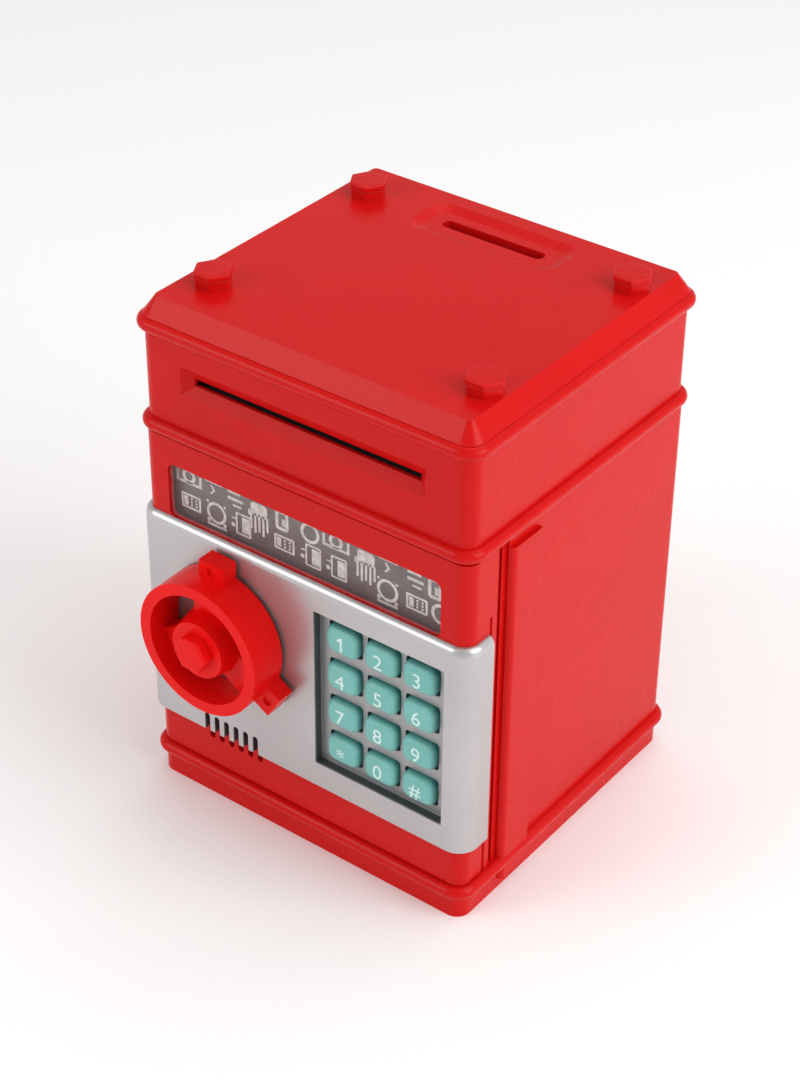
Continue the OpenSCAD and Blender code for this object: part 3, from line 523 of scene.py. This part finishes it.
def hexagon(radius, fillet, steps=4):
    """Points of a hexagon with one corner on +X and every corner rounded."""
    ring = []
    centre = radius - fillet / math.cos(math.radians(30))
    for corner in range(6):
        heading = math.radians(60 * corner)
        for step in range(steps + 1):
            turn = heading + math.radians(60) * (step / steps - 0.5)
            ring.append((centre * math.cos(heading) + fillet * math.cos(turn),
                         centre * math.sin(heading) + fillet * math.sin(turn)))
    return ring


def circle(radius, count, lobes=0, depth=0.0):
    """Points of a circle that may pull in between a number of lobes."""
    ring = []
    for i in range(count):
        turn = 2 * math.pi * i / count
        reach = radius * (1 - depth * (1 - abs(math.cos(lobes * turn / 2)) ** 6)) if lobes else radius
        ring.append((reach * math.cos(turn), reach * math.sin(turn)))
    return ring


def loft(shape, rings):
    """Skins a row of closed rings of equal length and caps both ends."""
    loops = [[shape.verts.new(point) for point in ring] for ring in rings]
    for low, high in zip(loops, loops[1:]):
        for i in range(len(low)):
            j = (i + 1) % len(low)
            shape.faces.new((low[i], low[j], high[j], high[i]))
    shape.faces.new(loops[0][::-1])
    shape.faces.new(loops[-1])


def quarter_round(radius, steps=5):
    """Pairs of how far in and how far up a rounded edge has come, from its foot to its crest."""
    turns = [math.radians(90 * step / steps) for step in range(steps + 1)]
    return [(radius * (1 - math.cos(t)), radius * math.sin(t)) for t in turns]


def raise_outline(shape, outline, front, back):
    """A flat plate in the XZ plane between two depths, whose outline is a list of (x, z)."""
    loft(shape, [[(x, y, z) for x, z in outline] for y in (back, front)])


def raise_band(shape, outer, inner, front, back):
    """A flat plate in the XZ plane with a hole: two outlines of equal length."""
    loops = [[shape.verts.new((x, y, z)) for x, z in ring]
             for ring, y in ((outer, front), (outer, back), (inner, back), (inner, front))]
    for low, high in zip(loops, loops[1:] + loops[:1]):
        for i in range(len(low)):
            j = (i + 1) % len(low)
            shape.faces.new((low[i], low[j], high[j], high[i]))


# ---- geometry node trees ----

class Maker(Graph):
    """A Geometry Nodes tree with named inputs. Its own mesh comes in as the input Places."""

    def __init__(self, name, **inputs):
        super().__init__(bpy.data.node_groups.new(name, "GeometryNodeTree"))
        face = self.tree.interface
        face.new_socket("Places", in_out="INPUT", socket_type="NodeSocketGeometry")
        for label, kind in inputs.items():
            face.new_socket(label.replace("_", " "), in_out="INPUT", socket_type="NodeSocket" + kind)
        face.new_socket("Result", in_out="OUTPUT", socket_type="NodeSocketGeometry")
        self.entry = self.tree.nodes.new("NodeGroupInput")

    def given(self, label):
        return Wire(self, self.entry.outputs[label])

    def end(self, result, material):
        """Realizes the instances, sets the material and ends the tree."""
        real = self.add("GeometryNodeRealizeInstances", None, {"Geometry": result})
        dressed = self.add("GeometryNodeSetMaterial", None, {"Geometry": real, "Material": material})
        last = self.tree.nodes.new("NodeGroupOutput")
        self.tree.links.new(dressed.socket, last.inputs["Result"])

    def grow(self, places, **values):
        """Runs the tree on a few points, each (place, heading about Z), and returns its plain mesh."""
        seed = bpy.data.meshes.new("places")
        seed.from_pydata([tuple(at) for at, heading in places], [], [])
        headings = seed.attributes.new("heading", "FLOAT", "POINT")
        headings.data.foreach_set("value", [heading for at, heading in places])
        holder = bpy.data.objects.new("grower", seed)
        bpy.context.scene.collection.objects.link(holder)
        modifier = holder.modifiers.new("grow", "NODES")
        modifier.node_group = self.tree
        named = {key.replace("_", " "): value for key, value in values.items()}
        for item in self.tree.interface.items_tree:
            if item.in_out == "INPUT" and item.name in named:
                modifier[item.identifier] = named[item.name]
        bpy.context.view_layer.update()
        graph = bpy.context.evaluated_depsgraph_get()
        mesh = bpy.data.meshes.new_from_object(holder.evaluated_get(graph))
        holder.modifiers.clear()
        bpy.data.objects.remove(holder)
        return mesh


def copier():
    """Puts a copy of one piece at each place, turned to its heading about Z."""
    maker = Maker("put_copies", Copy="Object", Finish="Material")
    copy = maker.add("GeometryNodeObjectInfo", {"transform_space": "ORIGINAL"},
                     {"Object": maker.given("Copy")}, output="Geometry")
    heading = maker.add("GeometryNodeInputNamedAttribute", {"data_type": "FLOAT"}, {"Name": "heading"})
    turn = maker.add("ShaderNodeCombineXYZ", None, {"Z": heading})
    points = maker.add("GeometryNodeMeshToPoints", None, {"Mesh": maker.given("Places")})
    spread = maker.add("GeometryNodeInstanceOnPoints", None, {
        "Points": points, "Instance": copy, "Rotation": turn})
    maker.end(spread, maker.given("Finish"))
    return maker


def spring_maker():
    """Winds a conical wire spring that stands on each place."""
    maker = Maker("wind_springs", Turns="Float", Foot_radius="Float", Crown_radius="Float",
                  Length="Float", Wire_radius="Float", Finish="Material")
    line = maker.add("GeometryNodeCurveSpiral", None, {
        "Resolution": 24, "Rotations": maker.given("Turns"), "Start Radius": maker.given("Foot radius"),
        "End Radius": maker.given("Crown radius"), "Height": maker.given("Length")})
    section = maker.add("GeometryNodeCurvePrimitiveCircle", {"mode": "RADIUS"}, {
        "Resolution": 10, "Radius": maker.given("Wire radius")})
    wire = maker.add("GeometryNodeCurveToMesh", None, {
        "Curve": line, "Profile Curve": section, "Fill Caps": True})
    heading = maker.add("GeometryNodeInputNamedAttribute", {"data_type": "FLOAT"}, {"Name": "heading"})
    turn = maker.add("ShaderNodeCombineXYZ", None, {"Y": heading})
    points = maker.add("GeometryNodeMeshToPoints", None, {"Mesh": maker.given("Places")})
    spread = maker.add("GeometryNodeInstanceOnPoints", None, {
        "Points": points, "Instance": wire, "Rotation": turn})
    maker.end(spread, maker.given("Finish"))
    return maker


put_copies = copier()
wind_springs = spring_maker()


def repeat(name, pattern, places, node):
    """Stands for a CAD node of several like pieces with copies of one mesh."""
    original = bpy.data.objects.new("pattern", pattern)
    mesh = put_copies.grow(places, Copy=original, Finish=finish[slot_of[node]])
    bpy.data.objects.remove(original)
    mesh.set_sharp_from_angle(angle=math.radians(34))
    return add_piece(name, mesh, node)


# ---- moulded shells ----

soften("top_lid", 0.55 * MM, segments=4, angle=12)
for shell, radius in {
    "base_plate": 0.45, "main_shell": 0.40, "head_shell": 0.40, "door_shell": 0.40,
    "door_back_cover": 0.35, "battery_cover": 0.25, "keypad_panel": 0.45, "window_pane": 0.15,
}.items():
    soften(shell, radius * MM)
# The wheel and hub nut take the brightened red, which is painted light.
for part, radius in {"hand_wheel": 1.15, "hub_nut": 0.35}.items():
    soften(part, radius * MM, material=wheel_red)


# ---- keys ----

KEY_SIGNS = {"key_1": "1", "key_2": "2", "key_3": "3", "key_4": "4", "key_5": "5", "key_6": "6", "key_7": "7",
             "key_8": "8", "key_9": "9", "key_star": "*", "key_0": "0", "key_hash": "#"}
KEY_EDGE = 1.9 * MM
KEY_CROWN = 0.16 * MM
KEY_CORNER = 2.9 * MM
FLANGE_T = 1.0 * MM
SIGN_HEIGHT = 5.3 * MM
SIGN_SHIFT = (-0.45 * MM, -0.4 * MM)


def key_cap(node):
    """Pillow-edged key with its retaining flange, inside the CAD key's box."""
    low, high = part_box(node)
    centre = (low + high) / 2
    flange_w = (high.x - low.x) / 2
    flange_h = (high.z - low.z) / 2
    cap_w = flange_w - 0.8 * MM
    cap_h = flange_h - 1.6 * MM
    rows = [(high.y, flange_w, flange_h, 0.8 * MM), (high.y - FLANGE_T, flange_w, flange_h, 0.8 * MM),
            (high.y - FLANGE_T, cap_w, cap_h, KEY_CORNER)]
    shoulder = low.y + KEY_CROWN + KEY_EDGE
    for inset, rise in quarter_round(KEY_EDGE, 7):
        rows.append((shoulder - rise, cap_w - inset, cap_h - inset, KEY_CORNER - 0.7 * inset))
    for share in (0.75, 0.5, 0.25):
        crest = low.y + KEY_CROWN * share ** 2
        face_w, face_h = cap_w - KEY_EDGE, cap_h - KEY_EDGE
        rows.append((crest, face_w * share, face_h * share, (KEY_CORNER - 0.7 * KEY_EDGE) * share))

    def build(shape):
        loft(shape, [[(centre.x + x, y, centre.z + z) for x, z in round_corners(w, h, r)]
                     for y, w, h, r in rows])
    return add_piece(node + "_cap", mesh_from(node + "_cap", build), node)


def lettering(text, size, thickness):
    """A sign as a thin closed mesh in the XY plane, centred across and standing on its base line."""
    data = bpy.data.curves.new("lettering", "FONT")
    data.body = text
    data.size = size
    data.extrude = thickness / 2
    data.resolution_u = 8
    data.align_x = "CENTER"
    holder = bpy.data.objects.new("lettering", data)
    bpy.context.scene.collection.objects.link(holder)
    bpy.context.view_layer.update()
    graph = bpy.context.evaluated_depsgraph_get()
    mesh = bpy.data.meshes.new_from_object(holder.evaluated_get(graph))
    bpy.data.objects.remove(holder)
    shape = bmesh.new()
    shape.from_mesh(mesh)
    bmesh.ops.remove_doubles(shape, verts=shape.verts, dist=0.001 * MM)
    bmesh.ops.recalc_face_normals(shape, faces=shape.faces)
    shape.to_mesh(mesh)
    shape.free()
    return mesh


def span_of(mesh, axis):
    values = [v.co[axis] for v in mesh.vertices]
    return min(values), max(values)


def add_key_sign(node, em, rise):
    """Prints a key's sign on the flat of its front, standing a hair proud."""
    low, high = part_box(node)
    thickness = 0.34 * MM
    if node == "key_1":
        half, tip = 0.055 * em, rise / em
        flag = [(-half, 0), (half, 0), (half, tip * em), (-half * 0.6, tip * em),
                (-0.22 * em, (tip - 0.16) * em), (-0.17 * em, (tip - 0.25) * em), (-half, (tip - 0.17) * em)]
        mesh = mesh_from("one", lambda shape: loft(shape, [[(x, y, z) for x, y in flag]
                                                           for z in (-thickness / 2, thickness / 2)]))
    else:
        mesh = lettering(KEY_SIGNS[node], em, thickness)
    left, right = span_of(mesh, 0)
    foot = rise / 2
    if node == "key_star":
        bottom, top = span_of(mesh, 1)
        foot = (bottom + top) / 2
    across, up = SIGN_SHIFT
    at = Vector(((low.x + high.x) / 2 + across, low.y + thickness / 2 - 0.04 * MM, (low.z + high.z) / 2 + up))
    centring = Matrix.Translation((-(left + right) / 2, -foot, 0))
    mesh.transform(Matrix.Translation(at) @ Matrix.Rotation(math.radians(90), 4, "X") @ centring)
    return add_piece(node + "_print", mesh, node, material=ink_white, stands_for=False)


tall = lettering("0", 1.0, 0.01)
sign_em = SIGN_HEIGHT / (span_of(tall, 1)[1] - span_of(tall, 1)[0])
for key in KEY_SIGNS:
    key_cap(key)
    add_key_sign(key, sign_em, SIGN_HEIGHT)


# ---- signs on the window film ----

def ring_outline(x, z, radius, count=40):
    return [(x + px, z + pz) for px, pz in circle(radius, count)]


def box_outline(x, z, width, height, radius, steps=4):
    return [(x + px, z + pz) for px, pz in round_corners(width / 2, height / 2, radius, steps)]


class Signs:
    """Flat generic signs on the front of the film. Places are in millimetres from the film's middle."""

    def __init__(self, shape, centre, front, back):
        self.shape = shape
        self.centre = centre
        self.depths = (front, back)

    def place(self, outline):
        return [(self.centre.x + x * MM, self.centre.z + z * MM) for x, z in outline]

    def patch(self, outline):
        raise_outline(self.shape, self.place(outline), *self.depths)

    def band(self, outer, inner):
        raise_band(self.shape, self.place(outer), self.place(inner), *self.depths)

    def hoop(self, x, z, outer, inner):
        self.band(ring_outline(x, z, outer), ring_outline(x, z, inner))

    def dot(self, x, z, radius):
        self.patch(ring_outline(x, z, radius, 20))

    def bar(self, x, z, width, height, radius=0.3):
        self.patch(box_outline(x, z, width, height, radius))

    def frame(self, x, z, width, height, line, radius=0.6):
        inner = max(radius - line, 0.05)
        self.band(box_outline(x, z, width, height, radius),
                  box_outline(x, z, width - 2 * line, height - 2 * line, inner))

    def slide(self, x, z):
        """A framed card with a pale half and two pips beside it."""
        self.frame(x, z, 6.2, 8.2, 0.7)
        self.bar(x + 0.9, z, 2.9, 5.8, 0.2)
        self.dot(x - 4.2, z - 1.2, 0.8)
        self.bar(x - 4.0, z + 1.3, 1.6, 0.5, 0.2)

    def comb(self, x, z):
        """A rounded block with five prongs of different length."""
        self.bar(x, z, 6.6, 4.8, 1.3)
        for i, length in enumerate((6.2, 7.4, 6.6, 7.6, 5.6)):
            self.bar(x - 3.2 + 1.62 * i, z - 1.6 - length / 2, 0.85, length, 0.35)
        self.bar(x - 3.9, z - 1.9, 0.8, 2.2, 0.3)

    def medal(self, x, z):
        """A ring on a small square foot."""
        self.hoop(x, z, 4.0, 2.95)
        for side in (-1, 1):
            self.bar(x + 3.3 * side, z - 3.5, 1.2, 1.4, 0.2)
            self.bar(x + 3.5 * side, z + 3.5, 0.9, 0.9, 0.2)
        self.bar(x, z - 4.9, 7.8, 1.0, 0.2)

    def ticket(self, x, z):
        """A plate outline with a row of pips."""
        self.frame(x, z, 8.0, 5.6, 0.75, 0.4)
        self.bar(x - 2.1, z, 1.7, 3.4, 0.2)
        for column in (0.2, 2.1):
            for row in (-1.2, 0, 1.2):
                self.dot(x + column, z + row, 0.42)

    def shelf(self, x, z):
        """A plate with a half ring above it."""
        self.bar(x, z - 1.3, 10.4, 1.0, 0.2)
        for side in (-1, 1):
            self.bar(x + 4.7 * side, z + 0.8, 1.0, 3.4, 0.2)
        self.hoop(x, z + 1.2, 2.7, 1.5)

    def arrow(self, x, z):
        """A chevron under a bar."""
        self.patch([(x, z + 1.7), (x + 1.3, z), (x, z - 1.7),
                    (x - 0.9, z - 1.7), (x + 0.4, z), (x - 0.9, z + 1.7)])
        self.bar(x + 0.7, z + 2.9, 7.2, 0.9, 0.3)

    def slots(self, x, z):
        """Three bars of different length."""
        self.bar(x, z, 6.2, 1.1, 0.4)
        self.bar(x - 0.5, z + 2.4, 5.2, 0.9, 0.3)
        self.bar(x + 0.6, z - 2.2, 3.6, 0.7, 0.3)

    def tab(self, x, z):
        """A tall rounded frame with a lip."""
        self.frame(x, z, 5.2, 7.4, 1.2, 1.4)
        self.bar(x + 0.6, z - 0.6, 1.4, 2.8, 0.4)


UPPER_SIGNS = (("shelf", -47.5), ("arrow", -38.0), ("slots", -28.5), ("comb", -19.0), ("tab", -9.8),
               ("hoop", 1.2), ("shelf", 11.3), ("comb", 22.8), ("arrow", 30.6),
               ("slots", 41.4), ("tab", 48.6))
LOWER_SIGNS = (("ticket", -47.0), ("medal", -36.5), ("slide", -25.5), ("ticket", -9.0), ("slide", 2.4),
               ("slide", 12.4), ("medal", 31.0), ("ticket", 42.0), ("hoop", 51.0))


def add_film_signs():
    low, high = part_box("window_film")
    glass_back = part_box("window_pane")[1].y
    front = (low.y + glass_back) / 2
    back = low.y + 0.05 * MM

    def build(shape):
        signs = Signs(shape, (low + high) / 2, front, back)
        for row, level in ((UPPER_SIGNS, 4.2), (LOWER_SIGNS, -4.1)):
            for kind, x in row:
                if kind == "hoop":
                    signs.hoop(x, level, 3.7, 2.6)
                else:
                    getattr(signs, kind)(x, level)
    mesh = mesh_from("film_signs", build)
    return add_piece("film_signs", mesh, "window_film", material=ink_silver, stands_for=False)


add_film_signs()


# ---- bolts, screws and springs ----

def solid_places(node):
    """Low and high corners of a node's separate solids, found by walking its edges, in a fixed order."""
    shape = bmesh.new()
    shape.from_mesh(nodes[node].data)
    bmesh.ops.remove_doubles(shape, verts=shape.verts, dist=0.002 * MM)
    left = set(shape.verts)
    found = []
    while left:
        group = [left.pop()]
        for vert in group:
            for edge in vert.link_edges:
                other = edge.other_vert(vert)
                if other in left:
                    left.discard(other)
                    group.append(other)
        xs, ys, zs = zip(*(v.co for v in group))
        found.append((Vector((min(xs), min(ys), min(zs))), Vector((max(xs), max(ys), max(zs)))))
    shape.free()
    return sorted(found, key=lambda box: tuple(round(part, 6) for part in box[0]))


def hex_bolt_mesh(radius, height, shank_radius, shank_length):
    """Two-tier hexagon head over a round shank. The seat is at z = 0."""
    tier = 0.58 * height
    fillet = 0.7 * MM
    waist = radius - 1.1 * MM
    profile = [(waist, 0.0)]
    profile += [(waist + 0.5 * MM, level) for level in (0.0, tier - 0.3 * MM)]
    profile += [(waist + 0.5 * MM - inset, tier - 0.3 * MM + rise)
                for inset, rise in quarter_round(0.3 * MM, 4)]
    profile += [(waist, tier), (waist, tier + 0.25 * MM), (radius - 0.2 * MM, tier + 0.25 * MM)]
    profile += [(radius, tier + 0.45 * MM)]
    profile += [(radius - inset, height - 0.5 * MM + rise) for inset, rise in quarter_round(0.5 * MM, 5)]
    profile += [(radius * share, height) for share in (0.6, 0.3)]
    count = len(hexagon(radius, fillet))
    rings = [[(x, y, level) for x, y in circle(shank_radius * share, count)]
             for share, level in ((0.86, -shank_length), (1.0, 0.4 * MM - shank_length), (1.0, 0.0))]
    rings += [[(x, y, level) for x, y in hexagon(reach, fillet * reach / radius)] for reach, level in profile]

    def build(shape):
        loft(shape, rings)
    return mesh_from("hex_bolt", build)


def place_lid_bolts():
    solids = solid_places("lid_bolts")
    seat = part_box("top_lid")[1].z
    low, high = solids[0]
    shank = 2.5 * MM
    pattern = hex_bolt_mesh((high.x - low.x) / 2, high.z - seat, shank, seat - low.z)
    places = [(Vector(((a.x + b.x) / 2, (a.y + b.y) / 2, seat)), 0.0) for a, b in solids]
    repeat("lid_hex_bolts", pattern, places, "lid_bolts")


def screw_mesh(shank_radius, length, head_radius, head_height):
    """Pan-head screw with a cross recess and ridged shank. The seat is at z = 0 and the head is above it."""
    count = 48
    rings = [[(x, y, -length) for x, y in circle(shank_radius * 0.35, count)]]
    pitch = 0.55 * shank_radius
    ridges = int(length * 0.85 / pitch)
    for i in range(ridges):
        foot = -length + pitch * (i + 0.6)
        for share, level in ((0.80, 0.0), (1.0, 0.42), (1.0, 0.52), (0.80, 0.92)):
            rings.append([(x, y, foot + pitch * level) for x, y in circle(shank_radius * share, count)])
    rings.append([(x, y, 0) for x, y in circle(shank_radius * 0.9, count)])
    rings.append([(x, y, 0) for x, y in circle(head_radius * 0.97, count)])
    edge = 0.55 * head_height
    for inset, rise in quarter_round(edge, 5):
        rings.append([(x, y, head_height - edge + rise) for x, y in circle(head_radius - inset, count)])
    recess = 0.62 * head_radius
    rings.append([(x, y, head_height) for x, y in circle(recess, count, 4, 0.62)])
    rings.append([(x, y, head_height * 0.45) for x, y in circle(recess * 0.72, count, 4, 0.62)])

    def build(shape):
        loft(shape, rings)
    return mesh_from("screw", build)


def place_screws(node, direction, shank_radius, head_radius, head_height):
    """Screws that stand for a node's solids. direction points from the tip to the head."""
    axis = max(range(3), key=lambda i: abs(direction[i]))
    sign = 1 if direction[axis] > 0 else -1
    solids = solid_places(node)
    low, high = solids[0]
    length = high[axis] - low[axis] - head_height
    pattern = screw_mesh(shank_radius, length, head_radius, head_height)
    turned = Vector((0, 0, 1)).rotation_difference(Vector(direction)).to_matrix().to_4x4()
    pattern.transform(turned)
    places = []
    for a, b in solids:
        seat = (a + b) / 2
        seat[axis] = b[axis] - head_height if sign > 0 else a[axis] + head_height
        places.append((seat, 0.0))
    repeat(node + "_cross", pattern, places, node)


def place_springs():
    """Conical cell springs, each standing on its contact plate and pressing on its cell."""
    node = "battery_springs"
    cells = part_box("battery_cells")
    middle = (cells[0].x + cells[1].x) / 2
    wire = 0.35 * MM
    solids = solid_places(node)
    places = []
    for a, b in solids:
        right = (a.x + b.x) / 2 > middle
        foot = Vector((b.x if right else a.x, (a.y + b.y) / 2, (a.z + b.z) / 2))
        heading = -math.pi / 2 if right else math.pi / 2
        inward = -1 if right else 1
        foot.x += inward * wire
        places.append((foot, heading))
    a, b = solids[0]
    mesh = wind_springs.grow(places, Turns=3.5, Foot_radius=(b.y - a.y) / 2 - 0.4 * MM, Crown_radius=2.2 * MM,
                             Length=b.x - a.x - 0.8 * MM, Wire_radius=wire, Finish=finish[slot_of[node]])
    mesh.shade_smooth()
    add_piece("cell_springs", mesh, node)


place_lid_bolts()
place_screws("base_screws", (0, 0, -1), 1.4 * MM, 2.8 * MM, 1.8 * MM)
place_screws("battery_cover_screw", (0, 0, -1), 1.0 * MM, 2.0 * MM, 0.9 * MM)
place_screws("head_screws", (0, 0, 1), 1.4 * MM, 2.8 * MM, 1.8 * MM)
place_screws("door_screws", (0, 1, 0), 1.0 * MM, 2.2 * MM, 1.3 * MM)
place_springs()

for node, thing in nodes.items():
    if not thing.hide_render:
        thing.data.materials.clear()
        thing.data.materials.append(finish[slot_of[node]])

add_world()
add_camera()
add_floor(floor_paper())
add_softbox("right_softbox", (1.3, 0.15, 0.8), (0, 0, 0.1), 1.1, 1.1, 14)
add_softbox("top_softbox", (0.1, 0.5, 1.6), (0, 0, 0.1), 1.4, 1.0, 6)
add_softbox("left_softbox", (-0.9, -1.3, 0.8), (0, 0, 0.1), 0.9, 0.9, 9)
